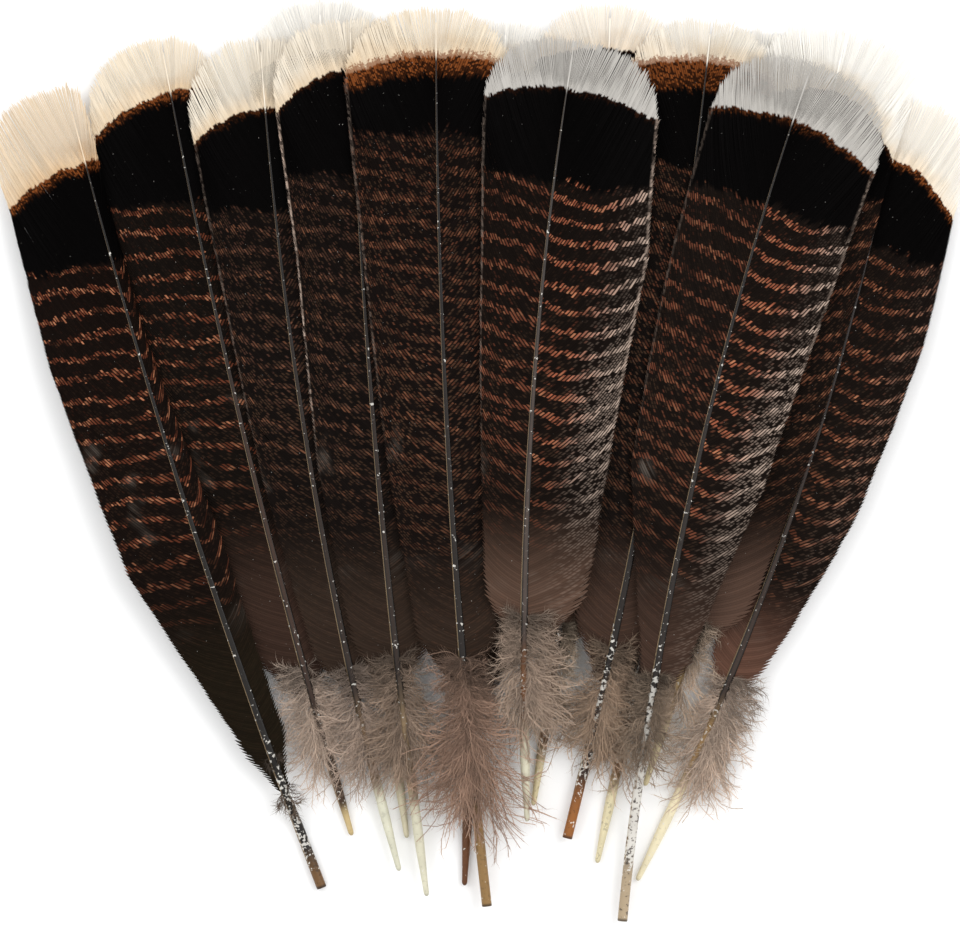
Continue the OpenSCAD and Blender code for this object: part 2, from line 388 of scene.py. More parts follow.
def new_group(name, kind, inputs, outputs):
    """A node group with named sockets, and its input and output nodes."""
    tree = bpy.data.node_groups.new(name, kind)
    for label, socket, value in inputs:
        made = tree.interface.new_socket(label, in_out="INPUT", socket_type=socket)
        if value is not None:
            made.default_value = value
    for label, socket in outputs:
        tree.interface.new_socket(label, in_out="OUTPUT", socket_type=socket)
    return tree, add(tree, "NodeGroupInput"), add(tree, "NodeGroupOutput")


def new_material(name):
    """A material, its tree and its shader."""
    made = bpy.data.materials.new(name)
    made.use_nodes = True
    return made, made.node_tree, made.node_tree.nodes["Principled BSDF"]


def vane_pattern(colours):
    """The markings of a vane, from the places and barb numbers kept on its mesh. Every
    edge of a marking steps from barb to barb, as each barb carries its own piece of it."""
    number = "NodeSocketFloat"
    tree, given, out = new_group(
        "vane_pattern",
        "ShaderNodeTree",
        [(label, number, 0.0) for label in (*MARKS, "Seed")]
        + [(label, "NodeSocketColor", None) for label in MARK_COLOURS],
        [("Colour", "NodeSocketColor"), ("Roughness", number), ("Height", number)],
    )
    g = given.outputs
    place = add(tree, "ShaderNodeAttribute", attribute_name="place")
    split = add(tree, "ShaderNodeSeparateXYZ", {0: place.outputs["Vector"]})
    barb = add(tree, "ShaderNodeAttribute", attribute_name="barb").outputs["Fac"]
    k = {"tip": split.outputs[0], "u": split.outputs[1], "edge": split.outputs[2], "barb": barb}
    k.update({label.lower(): g[label] for label in (*MARKS, "Seed")})
    work_out(tree, k, [
        ("right", "GREATER_THAN", "u", 0.0),
        ("side", "MULTIPLY", "right", 977.0),
        ("side", "MULTIPLY_ADD", "seed", 17.0, "side"),
        # the fine dashes of the fringe, and the wider ones, four to five of those, that carry
        # the bars and the stipple: real barbs are too fine to show, so a dash spans several
        ("fine", "ROUND", "barb"),
        ("fine across", "SUBTRACT", "barb", "fine"),
        ("fine across", "ABSOLUTE", "fine across"),
        ("fine", "ADD", "fine", "side"),
        ("pair", "MULTIPLY", "barb", 0.8),
        ("id", "ROUND", "pair"),
        ("across", "SUBTRACT", "pair", "id"),
        ("across", "ABSOLUTE", "across"),
        ("key", "ADD", "id", "side"),
    ])

    def drawn(names, barb, cell=None):
        """Up to three random numbers for each barb, or for each cell along a barb."""
        if cell is None:
            made = add(tree, "ShaderNodeTexWhiteNoise", {"W": k[barb]}, noise_dimensions="1D")
        else:
            where = add(tree, "ShaderNodeCombineXYZ", {0: k[barb], 1: k[cell], 2: 0.0})
            made = add(tree, "ShaderNodeTexWhiteNoise", {"Vector": where.outputs[0]}, noise_dimensions="3D")
        parts = add(tree, "ShaderNodeSeparateColor", {0: made.outputs["Color"]})
        k.update(zip(names, parts.outputs))

    drawn(("r1", "r2", "r3"), "key")
    drawn(("q1", "q2", "q3"), "fine")
    # Slow drifts of the markings, 4, 9 and 26 mm across, and a fine 0.8 mm grain
    far = add(tree, "ShaderNodeVectorMath", {0: place.outputs["Vector"], 1: (1, 1, 0)},
              operation="MULTIPLY")
    far = add(tree, "ShaderNodeVectorMath", {0: far.outputs[0]}, operation="ADD")
    seed = add(tree, "ShaderNodeCombineXYZ", {0: 0.0, 1: 0.0, 2: k["seed"]})
    tree.links.new(seed.outputs[0], far.inputs[1])
    for name, size, detail in (("n9", 9.0, 1.0), ("n26", 26.0, 2.0), ("grain", 0.8, 1.0), ("n4", 4.0, 2.0)):
        made = add(tree, "ShaderNodeTexNoise",
                   {"Vector": far.outputs[0], "Scale": 1 / size, "Detail": detail})
        k[name] = made.outputs[0]
    work_out(tree, k, [
        ("edge2", "MULTIPLY", "edge", "edge"),
        ("swing", "SUBTRACT", "sag right", "sag left"),
        ("sag", "MULTIPLY_ADD", "swing", "right", "sag left"),
        ("line", "MULTIPLY_ADD", "sag", "edge2", "pale"),
        ("line", "MULTIPLY_ADD", "n9", 4.0, "line"),
        ("jag", "MULTIPLY_ADD", "q1", 1.3, "tip"),
        ("d", "SUBTRACT", "jag", "line"),
        ("d", "ADD", "d", 1.2),
        ("in pale", "SMOOTHSTEP", "d", 0.5, -0.4),
        # rust fringe
        ("rust out", "MULTIPLY_ADD", "q2", 3.0, "rust width"),
        ("rust far", "ADD", "rust out", 1.2),
        ("in rust", "SMOOTHSTEP", "d", "rust far", "rust width"),
        ("in rust", "MULTIPLY", "in rust", "rust"),
        # end of the black band
        ("dark", "MULTIPLY_ADD", "r3", 3.0, "tip"),
        ("dark", "MULTIPLY_ADD", "n26", 16.0, "dark"),
        ("dark", "SUBTRACT", "dark", "black end"),
        ("below", "SMOOTHSTEP", "dark", 8.0, 11.0),
        # bars, which dip across the right vane and fall towards the shaft on the left
        ("arc", "MULTIPLY", "edge", math.pi),
        ("arc", "SINE", "arc"),
        ("arc", "MULTIPLY", "arc", -4.0),
        ("arc", "MULTIPLY_ADD", "edge2", 5.5, "arc"),
        ("fall", "MULTIPLY", "edge", 6.0),
        ("bend", "SUBTRACT", "arc", "fall"),
        ("bend", "MULTIPLY_ADD", "bend", "right", "fall"),
        ("phase", "ADD", "tip", "bend"),
        ("phase", "MULTIPLY_ADD", "n26", 10.0, "phase"),
        ("phase", "MULTIPLY_ADD", "r2", 2.0, "phase"),
        ("phase", "DIVIDE", "phase", BAR_GAP),
        ("wave", "PINGPONG", "phase", 0.5),
        ("wide", "MULTIPLY_ADD", "r1", 0.08, 0.085),
        ("soft", "ADD", "wide", 0.035),
        ("bar", "SMOOTHSTEP", "wave", "soft", "wide"),
        ("whole", "SMOOTHSTEP", "n9", 0.3, 0.45, 0.15, 1.0),
        ("bar", "MULTIPLY", "bar", "whole"),
        ("up to", "SUBTRACT", "bars end", 70.0),
        ("dying", "SMOOTHSTEP", "tip", "bars end", "up to"),
        ("crest", "SMOOTHSTEP", "across", 0.36, 0.18, 0.06, 1.0),
        ("bar", "PRODUCT", "bar", "dying", "below", "crest", "bars"),
        ("lit", "MULTIPLY_ADD", "r3", 0.45, 0.65),
        ("bar", "MULTIPLY", "bar", "lit"),
        # the left vanes of the feathers with pale bars are only faintly barred
        ("keep", "SUBTRACT", 1.0, "right"),
        ("keep", "MULTIPLY", "keep", "pale ends"),
        ("keep", "MULTIPLY_ADD", "keep", -0.55, 1.0),
        ("bar", "MULTIPLY", "bar", "keep"),
        # cells along a barb, each of which may hold a dash of the stipple or of the fringe
        ("cell", "DIVIDE", "tip", DASH),
        ("cell", "ADD", "cell", "r1"),
        ("ends", "PINGPONG", "cell", 0.5),
        ("ends", "SMOOTHSTEP", "ends", 0.05, 0.18),
        ("cell", "FLOOR", "cell"),
        ("fine cell", "DIVIDE", "tip", FINE_DASH),
        ("fine cell", "ADD", "fine cell", "q1"),
        ("fine cell", "FLOOR", "fine cell"),
    ])
    drawn(("v1", "v2"), "key", "cell")
    drawn(("w1",), "fine", "fine cell")
    work_out(tree, k, [
        # the bars of some right vanes turn pale towards the edge, more so near the quill
        ("pale end", "MULTIPLY_ADD", "tip", 0.0022, "edge"),
        ("pale end", "SMOOTHSTEP", "pale end", 0.6, 1.2),
        ("pale end", "PRODUCT", "pale end", "pale ends", "right"),
        ("gate", "SMOOTHSTEP", "v2", 0.08, 0.3, 0.15, 1.0),
        ("bar", "MULTIPLY", "bar", "gate"),
        # stipple, in loose patches, thinner between clear bars and redder near the tip
        ("patch", "MULTIPLY_ADD", "n4", 0.7, "v1"),
        ("patch", "MULTIPLY_ADD", "pale end", 0.3, "patch"),
        ("dots", "SMOOTHSTEP", "patch", 0.88, 1.0),
        ("dots", "MULTIPLY", "dots", "ends"),
        ("plain", "SMOOTHSTEP", "tip", 150.0, 90.0),
        ("plain", "MULTIPLY", "plain", "bars"),
        ("plain", "MULTIPLY_ADD", "plain", -0.8, 1.0),
        ("dots", "PRODUCT", "dots", "plain", "crest", "stipple", "below"),
        ("thin out", "SMOOTHSTEP", "tip", "bars end", "up to", 0.3, 1.0),
        ("dots", "MULTIPLY", "dots", "thin out"),
        ("reddish", "GREATER_THAN", "v2", 0.72),
        ("duller", "SMOOTHSTEP", "tip", 110.0, 190.0, 1.0, 0.25),
        ("reddish", "MULTIPLY", "reddish", "duller"),
        # the fringe breaks into dots away from the black band's edge
        ("fine crest", "SMOOTHSTEP", "fine across", 0.48, 0.3, 0.3, 1.0),
        ("rust dots", "SMOOTHSTEP", "d", 0.0, "rust far", 0.75, 0.25),
        ("rust dots", "SUBTRACT", "rust dots", "w1"),
        ("rust dots", "SMOOTHSTEP", "rust dots", -0.1, 0.25, 0.15, 1.0),
        ("in rust", "PRODUCT", "in rust", "fine crest", "rust dots"),
        # a wide fringe also runs on into the pale tip as a dying speckle
        ("rust up", "SMOOTHSTEP", "d", -6.0, 0.5, 0.0, 0.8),
        ("rust up", "ADD", "rust up", "grain"),
        ("rust up", "SMOOTHSTEP", "rust up", 0.85, 1.15),
        ("wide rust", "SMOOTHSTEP", "rust width", 3.0, 6.0, 0.0, 0.75),
        ("rust up", "MULTIPLY", "rust up", "wide rust"),
        ("ochre", "SMOOTHSTEP", "v2", 0.6, 1.0),
        # ground, which turns browner where the bars have died out
        ("turns", "SUBTRACT", "bars end", 32.0),
        ("full", "ADD", "bars end", 14.0),
        ("deep", "SMOOTHSTEP", "tip", "turns", "full"),
        # pale margin, broken into dashes
        ("line in", "SMOOTHSTEP", "edge", 0.95, 0.975),
        ("line in", "PRODUCT", "line in", "margin", "keep", "v1"),
        ("long", "SMOOTHSTEP", "tip", 190.0, 120.0),
        ("line in", "MULTIPLY", "line in", "long"),
        # painted sheen glints, mixed with specks of dust
        ("speck", "SMOOTHSTEP", "grain", 0.78, 0.83, 0.0, 0.55),
        ("speck", "MULTIPLY", "speck", "n26"),
        # patches where the barbs catch the light
        ("glint", "SMOOTHSTEP", "n26", 0.57, 0.7, 0.0, 0.4),
        ("glint", "PRODUCT", "glint", "fine crest", "q2"),
        ("far out", "SUBTRACT", "tip", 170.0),
        ("far out", "ABSOLUTE", "far out"),
        ("far out", "SMOOTHSTEP", "far out", 60.0, 25.0),
        ("glint", "MULTIPLY", "glint", "far out"),
        # brightness of each barb, which is darker at its seams
        ("own", "MULTIPLY_ADD", "q3", 0.3, 0.8),
        ("shadow", "SMOOTHSTEP", "fine across", 0.5, 0.25, 0.8, 1.0),
        ("tone", "MULTIPLY", "own", "shadow"),
        ("pale tone", "MULTIPLY_ADD", "q3", 0.16, 0.84),
        # warmth of the pale tip, which fades away from the black band
        ("from line", "MULTIPLY", "d", -0.06),
        ("from line", "MULTIPLY_ADD", "n9", 0.7, "from line"),
        ("from line", "MULTIPLY_ADD", "pale ends", 0.7, "from line"),
    ])
    c = {}

    def lay(steps):
        """Lays one colour over another by a factor. A name stands for an earlier result."""
        for name, factor, *pair in steps:
            under, over = (c[v] if isinstance(v, str) else v for v in pair)
            made = add(tree, "ShaderNodeMix", {0: k[factor], 6: under, 7: over}, data_type="RGBA")
            c[name] = made.outputs[2]

    lay([
        ("ground", "deep", g["High ground"], g["Low ground"]),
        ("ground", "below", tuple(colours.black), "ground"),
        ("bar c", "ochre", g["Bar colour"], tuple(colours.ochre)),
        ("bar c", "pale end", "bar c", tuple(colours.bar_edge)),
        ("ground", "bar", "ground", "bar c"),
        ("dot c", "reddish", tuple(colours.stipple), g["Bar colour"]),
        ("dot c", "pale end", "dot c", tuple(colours.bar_edge)),
        ("ground", "dots", "ground", "dot c"),
        ("ground", "in rust", "ground", tuple(colours.rust)),
        ("ground", "line in", "ground", tuple(colours.bar_edge)),
        ("ground", "glint", "ground", tuple(colours.glint)),
    ])
    dark = add(tree, "ShaderNodeVectorMath", {0: c["ground"], "Scale": k["tone"]}, operation="SCALE")
    warm = add(tree, "ShaderNodeMix", {0: 1.0, 6: g["Pale colour"], 7: linear("ecd8bc")},
               data_type="RGBA", blend_type="MULTIPLY")
    lay([("pale", "from line", warm.outputs[2], g["Pale colour"])])
    pale = add(tree, "ShaderNodeVectorMath", {0: c["pale"], "Scale": k["pale tone"]}, operation="SCALE")
    lay([
        ("pale", "rust up", pale.outputs[0], tuple(colours.rust)),
        ("both", "in pale", dark.outputs[0], "pale"),
        # painted sheen glints and specks of dust over both
        ("both", "speck", "both", tuple(colours.dust_and_sheen)),
    ])
    work_out(tree, k, [
        ("rough", "MULTIPLY_ADD", "n4", 0.25, 0.48),
        ("rise", "MULTIPLY", "fine across", -1.2),
        ("rise", "MULTIPLY_ADD", "grain", 0.5, "rise"),
    ])
    feed(tree, out, {"Colour": c["both"], "Roughness": k["rough"], "Height": k["rise"]})
    return tree


def keratin_barbs(n, pattern):
    """Feather barbs: zipped keratin fibres, satin along the barb and never mirror-like."""
    made, tree, shader = new_material(f"barbs_zipped_keratin_{n + 1:02d}")
    marks = MARKINGS[n]
    inputs = {label: float(v) for label, v in zip(MARKS, marks)}
    inputs.update({label: linear(v) for label, v in zip(MARK_COLOURS, marks[len(MARKS) :])})
    inputs["Seed"] = float(n + 1)
    group = add(tree, "ShaderNodeGroup", inputs, node_tree=pattern)
    bump = add(tree, "ShaderNodeBump",
               {"Height": group.outputs["Height"], "Strength": 0.25, "Distance": 0.2 * MM})
    feed(tree, shader, {
        "Base Color": group.outputs["Colour"],
        "Roughness": group.outputs["Roughness"],
        "Normal": bump.outputs[0],
        "IOR": 1.55,
        "Specular IOR Level": 0.02,
    })
    return made


def horn(n, f, colours):
    """Shaft keratin: smooth horn, glossy and amber where it is bare, with dry white flakes."""
    end, bare, lower, upper, end_length, flaky = HORNS[n]
    pale_tip = MARKINGS[n][0]
    pale_colour = MARKINGS[n][len(MARKS)]
    made, tree, shader = new_material(f"shaft_polished_horn_{n + 1:02d}")
    run = add(tree, "ShaderNodeAttribute", attribute_name="run")
    split = add(tree, "ShaderNodeSeparateXYZ", {0: run.outputs["Vector"]})
    k = {"s": split.outputs[0], "v": split.outputs[1], "tip": split.outputs[2]}
    where = add(tree, "ShaderNodeTexCoord").outputs["Object"]
    # Streaks of 11 mm, flecks of 1.4 mm and clouds of 17 mm, as repeats in a metre
    for name, scale, detail in (("streak", 90.0, 3.0), ("fleck", 700.0, 3.0), ("cloud", 60.0, 2.0)):
        noise = add(tree, "ShaderNodeTexNoise", {"Vector": where, "Scale": scale, "Detail": detail})
        k[name] = noise.outputs[0]
    work_out(tree, k, [
        # the colours of the quill's end, the bare quill and the shaft pass into one another
        ("wander", "MULTIPLY_ADD", "cloud", 16.0, "s"),
        ("past end", "SMOOTHSTEP", "wander", end_length + 2.0, end_length + 14.0),
        ("from base", "SUBTRACT", "s", f.base),
        ("reach", "MULTIPLY_ADD", "cloud", 18.0, "from base"),
        ("pale tip", "SMOOTHSTEP", "tip", pale_tip + 3.0, pale_tip - 1.0),
        ("past bare", "SMOOTHSTEP", "reach", -6.0, 18.0),
        ("past lower", "SMOOTHSTEP", "reach", 90.0, 190.0),
        # painted shade darkens both flanks of the shaft and leaves a lighter middle line as a painted
        # highlight, and a painted highlight makes its left flank pale
        ("painted side shade", "SUBTRACT", "v", 0.12),
        ("painted side shade", "ABSOLUTE", "painted side shade"),
        ("painted side shade", "SMOOTHSTEP", "painted side shade", 0.22, 0.5, 0.0, 0.8),
        ("painted side shade", "MULTIPLY", "painted side shade", "past bare"),
        ("painted left highlight", "SMOOTHSTEP", "v", -0.55, -0.8, 0.0, 0.6),
        # edges carries the painted highlight of the left flank, past the quill's end
        ("edges", "MULTIPLY", "painted left highlight", "past end"),
        # white flakes of dry skin, dirt, and the dark rim of a cut end
        ("flake zone", "SMOOTHSTEP", "reach", 50.0, 0.0),
        ("flake zone", "MULTIPLY", "flake zone", "past end"),
        ("flake", "MULTIPLY_ADD", "flake zone", 0.16 * flaky, "fleck"),
        ("flake", "SMOOTHSTEP", "flake", 0.66, 0.7, 0.0, 0.85),
        ("dirt", "SMOOTHSTEP", "fleck", 0.42, 0.34, 0.0, 0.5 * flaky),
        ("cut", "SMOOTHSTEP", "s", 1.6, 0.5, 0.0, 0.75 if f.cut else 0.2),
        ("tone", "MULTIPLY_ADD", "streak", 0.6, 0.7),
        ("rough", "MULTIPLY_ADD", "fleck", 0.4, 0.2),
    ])
    shown = linear(end)
    for factor, over in (
        ("past end", linear(bare)),
        ("past bare", linear(lower)),
        ("past lower", linear(upper)),
        # painted shade on both flanks, and a painted highlight along the left flank
        ("painted side shade", linear("0e0b09")),
        ("edges", linear("a58d6c")),
        ("dirt", linear("1a1410")),
        ("flake", tuple(colours.dust_and_sheen)),
        ("cut", linear("20160e")),
        ("pale tip", linear(pale_colour)),
    ):
        shown = add(tree, "ShaderNodeMix", {0: k[factor], 6: shown, 7: over}, data_type="RGBA").outputs[2]
    shown = add(tree, "ShaderNodeVectorMath", {0: shown, "Scale": k["tone"]}, operation="SCALE")
    bump = add(tree, "ShaderNodeBump", {"Height": k["fleck"], "Strength": 0.3, "Distance": 0.3 * MM})
    feed(tree, shader, {
        "Base Color": shown.outputs[0],
        "Roughness": k["rough"],
        "Normal": bump.outputs[0],
        "IOR": 1.54,
        "Specular IOR Level": 0.25,
    })
    return made


def soft_down(n):
    """Down: loose unzipped barbs of fine keratin hair, matt, paler towards their tips."""
    made, tree, shader = new_material(f"down_loose_barbs_{n + 1:02d}")
    k = {"shade": add(tree, "ShaderNodeAttribute", attribute_name="shade").outputs["Fac"]}
    where = add(tree, "ShaderNodeTexCoord").outputs["Object"]
    # Clouds of 7 mm, about the width of a lock
    cloud = add(tree, "ShaderNodeTexNoise", {"Vector": where, "Scale": 140.0, "Detail": 3.0})
    k["cloud"] = cloud.outputs[0]
    work_out(tree, k, [
        ("mixed", "MULTIPLY_ADD", "shade", 0.75, -0.12),
        ("mixed", "MULTIPLY_ADD", "cloud", 0.5, "mixed"),
        ("rough", "MULTIPLY_ADD", "cloud", 0.2, 0.6),
    ])
    base = linear(TUFTS[n][-1])
    dark = [0.27 * c for c in base[:3]] + [1.0]
    light = [c * min(1.6, 0.88 / base[0]) for c in base[:3]] + [1.0]
    shown = add(tree, "ShaderNodeMix", {0: k["mixed"], 6: dark, 7: light}, data_type="RGBA")
    feed(tree, shader, {
        "Base Color": shown.outputs[2],
        "Roughness": k["rough"],
        "IOR": 1.55,
        "Specular IOR Level": 0.2,
    })
    return made


def finished(name, points, faces, material, attributes, smooth=False):
    """A closed piece from points in millimetres, with its attributes and faces outwards."""
    mesh = bpy.data.meshes.new(name)
    mesh.from_pydata((np.asarray(points) * MM).tolist(), [], faces)
    for label, kind, values in attributes:
        made = mesh.attributes.new(label, kind, "POINT")
        field = "vector" if kind == "FLOAT_VECTOR" else "value"
        made.data.foreach_set(field, np.asarray(values, np.float32).ravel())
    work = bmesh.new()
    work.from_mesh(mesh)
    bmesh.ops.recalc_face_normals(work, faces=work.faces)
    work.to_mesh(mesh)
    work.free()
    mesh.materials.append(material)
    mesh.polygons.foreach_set("use_smooth", [smooth] * len(mesh.polygons))
    made = bpy.data.objects.new(name, mesh)
    bpy.context.scene.collection.objects.link(made)
    return made


def hand_over(piece, n, node):
    """Ties a finished piece to its feather's body, and hides the imported part that it stands in for."""
    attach(piece, f"feather_{n + 1:02d}")
    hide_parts(f"feather_{n + 1:02d}_{node}")


def lay_barbs(f, side, marks, sizes, chance):
    """Middle lines of the barbs of one vane, as an array of barb, station, and s and u, those of
    the seams between them, where each seam opens, and each barb's place among the dashes."""
    s_tip = f.length - LAST_ROOT
    v = np.linspace(0, 1, SAMPLES)
    s_roots = f.base + v * (s_tip - f.base)

    def counted(step):
        """How many steps fit from the vane's base to each place along it."""
        return np.concatenate([[0], np.cumsum((s_tip - f.base) / (SAMPLES - 1) / step[1:])])

    count = counted(mix(sizes.step_base, sizes.step_tip, ease(share(v, 0.35, 0.85))) / MM)
    n = int(count[-1])
    root = np.interp(np.arange(n) + 0.5, count, s_roots)
    # Outline of the vane, and the run along it
    turn = np.linspace(0, math.pi / 2, 220)
    s_out = np.concatenate([np.linspace(f.base, f.length - f.tip_round, 160)[:-1],
                            f.length - f.tip_round + f.tip_round * np.sin(turn)])
    w_out = f.half_width(s_out, side)
    run = np.concatenate([[0], np.cumsum(np.hypot(np.diff(s_out), np.diff(w_out)))])
    # Each barb ends on the outline, ahead of its root, and the last ones reach the tip
    angle = np.radians(np.interp((root - f.base) / (f.length - f.base), ANGLES_AT, ANGLES[side]))
    lead = f.half_width(root, side, rounded=False) / np.tan(angle)
    at = np.interp(root, s_out, run)
    rest = run[-1] - at[-1]
    end = at + mix(lead, rest, ease(share(root, f.length - GATHER_FROM, s_tip)))
    end = np.minimum(np.maximum.accumulate(end), run[-1])
    first = np.stack([root, np.maximum(0.15, f.shaft_width(root) / 2 - 0.3)], 1)
    last = np.stack([np.interp(end, run, s_out), np.interp(end, run, w_out)], 1)
    chord = last - first
    size = np.hypot(chord[:, 0], chord[:, 1])
    # Barbs differ in length, most of all near the tip and at the foot
    uneven = chance.normal(0, 0.5, n) + 0.5 * np.sin(np.arange(n) * 0.37 + chance.uniform(0, 6))
    near_tip = share(last[:, 0], f.length - 40, f.length - 15)
    near_foot = share(root, f.base + LOOSE_FOOT, f.base)
    longer = uneven * (mix(0.35, 1.1, near_tip) + 0.8 * near_foot) + f.proud * near_tip
    last = last + chord / size[:, None] * longer[:, None]
    chord = last - first
    size = np.hypot(chord[:, 0], chord[:, 1])
    # Each barb is one bend, straighter near the tip
    bend = mix(0.12, 0.03, ease(share(root, f.length - STRAIGHT_FROM, s_tip)))
    control = (first + last) / 2 + np.stack([-chord[:, 1], chord[:, 0]], 1) * bend[:, None]
    point = np.minimum(0.3, (sizes.fringe / MM) / size)
    t = np.linspace(0, 1, STATIONS)[None, :] * (1 - point)[:, None]
    t = np.concatenate([t, np.ones((n, 1))], 1)[:, :, None]
    line = (1 - t) ** 2 * first[:, None] + 2 * t * (1 - t) * control[:, None] + t**2 * last[:, None]
    # Loose pale ends stray a little to either side
    loose = chance.normal(0, 0.55, n) * near_tip
    away = np.stack([-chord[:, 1], chord[:, 0]], 1) / size[:, None]
    line += away[:, None] * (loose[:, None] * t[:, :, 0] ** 3)[:, :, None]
    seam = np.concatenate([1.5 * line[:1] - 0.5 * line[1:2], (line[:-1] + line[1:]) / 2,
                           1.5 * line[-1:] - 0.5 * line[-2:-1]])
    # A seam is zipped up to the pale tip, and is unzipped from there on
    tip = f.length - seam[:, :STATIONS, 0]
    edge = seam[:, :STATIONS, 1] / np.maximum(1, f.half_width(seam[:, :STATIONS, 0], side, rounded=False))
    pale = tip < marks[0] + 1 + (marks[1] if side < 0 else marks[2]) * edge**2
    opens = np.where(pale.any(1), pale.argmax(1), STATIONS - 1)
    # The lowest barbs are loose at their ends
    low = share(seam[:, 0, 0], f.base + LOOSE_FOOT, f.base)
    opens = np.minimum(opens, np.round(mix(STATIONS, 4, low)).astype(int))
    # A few seams have come unzipped further in, and gape, which moves the barbs near them
    for j in chance.integers(int(n * 0.25), int(n * 0.9), SPLITS):
        start = int(chance.integers(4, 8))
        opens[j] = min(opens[j], start)
        gape = chance.uniform(0.3, 1.1)
        apart = gape * share(np.arange(STATIONS + 1), start, STATIONS) ** 1.3
        for rows, past in ((line, np.arange(n) + 0.5 - j), (seam, np.arange(n + 1) - j)):
            near = np.exp(-np.abs(past) / 7) * np.sign(past)
            rows[:, :, 0] += near[:, None] * apart[None, :]
    dashes = counted(mix(sizes.marks_base, sizes.marks_tip, ease(share(v, 0.1, 0.6))) / MM)
    mark = np.interp(root, s_roots, dashes)
    return line, seam, np.clip(opens, 1, STATIONS - 1), mark


def vane_piece(n, f, side, sizes, material):
    """One vane: ridged barbs zipped into one closed sheet, with free points along the edge
    and open seams in the pale tip."""
    chance = np.random.default_rng(sizes.seed * 1000 + n * 10 + side + 1)
    line, seam, opens, mark = lay_barbs(f, side, MARKINGS[n], sizes, chance)
    count = len(line)
    wave = chance.uniform(0, 6.3, 2)
    ridge = sizes.ridge / MM
    points, places, barbs, faces = [], [], [], []

    def put(su, up, barb):
        """Adds vertices at s and u, that high over the layer, and gives their numbers."""
        s = su[..., 0].ravel()
        u = su[..., 1].ravel()
        start = sum(len(p) for p in points)
        x, y = f.plan(s, side * u)
        edge = u / np.maximum(1.0, f.half_width(s, side, rounded=False))
        # The vane's edge waves by a few tenths of a millimetre
        sway = 0.22 * np.sin(s / 13 + wave[0]) + 0.16 * np.sin(s / 5.3 + wave[1] + u / 9)
        z = f.layer_z(x, y) + up + sway * edge
        points.append(np.stack([x, y, z], 1))
        places.append(np.stack([f.length - s, side * u, edge], 1))
        barbs.append(np.broadcast_to(barb, su.shape[:-1]).ravel())
        return np.arange(start, start + len(s)).reshape(su.shape[:-1])

    own = mark[:, None]
    top = put(line[:, :STATIONS], ridge, own)
    tips = put(line[:, STATIONS], 0.0, mark)
    # Where a seam is zipped, the barbs beside it share its vertices
    shared = np.interp(np.arange(count + 1) - 0.5, np.arange(count), mark)[:, None]
    seam_top = put(seam[:, :STATIONS], 0.0, shared)
    seam_low = put(seam[:, :STATIONS], -VANE_THICK, shared)
    # Where it is open, each has a side of its own, drawn in a little
    k = np.arange(STATIONS)[None, :]
    free = {}
    for hand, which in ((0, seam[:-1]), (1, seam[1:])):
        from_open = k - (opens[:-1] if hand == 0 else opens[1:])[:, None]
        wide = mix(1.0, sizes.free_width, share(from_open, 0, 1))
        su = line[:, :STATIONS] + (which[:, :STATIONS] - line[:, :STATIONS]) * wide[:, :, None]
        free[hand] = put(su, 0.0, own + (shared[hand : count + hand] - own) * wide)
    opens = opens.copy()
    opens[0] = opens[-1] = -1

    def side_at(i, k, hand):
        """Upper and lower vertex of a barb's side, which are one where the seam is open."""
        j = i + hand
        if k <= opens[j]:
            return seam_top[j, k], seam_low[j, k]
        return free[hand][i, k], free[hand][i, k]

    for i in range(count):
        for k in range(STATIONS):
            la, lb = side_at(i, k, 0)
            ra, rb = side_at(i, k, 1)
            if k == 0:
                cap = [la, top[i, 0], ra, rb, lb]
                faces.append([v for q, v in enumerate(cap) if v not in cap[:q]])
            if k < STATIONS - 1:
                lc, ld = side_at(i, k + 1, 0)
                rc, rd = side_at(i, k + 1, 1)
                faces += [
                    [la, lc, top[i, k + 1], top[i, k]],
                    [top[i, k], top[i, k + 1], rc, ra],
                    [lb, rb, rd, ld],
                ]
                if la != lb and lc == ld:
                    faces.append([la, lb, lc])
                if ra != rb and rc == rd:
                    faces.append([ra, rc, rb])
            else:
                end = tips[i]
                faces += [[la, end, top[i, k]], [top[i, k], end, ra], [lb, rb, end]]
                if la != lb:
                    faces.append([la, lb, end])
                if ra != rb:
                    faces.append([ra, end, rb])
    # Vertices that no face uses are left out
    used = np.unique(np.concatenate([np.asarray(p) for p in faces]))
    renumber = np.zeros(used[-1] + 1, int)
    renumber[used] = np.arange(len(used))
    faces = [[int(renumber[v]) for v in p] for p in faces]
    kept = [
        ("place", "FLOAT_VECTOR", np.concatenate(places)[used]),
        ("barb", "FLOAT", np.concatenate(barbs)[used]),
    ]
    hand = "left" if side < 0 else "right"
    piece = finished(f"barbs_{n + 1:02d}_{hand}", np.concatenate(points)[used], faces, material, kept)
    hand_over(piece, n, f"{hand}_vane")


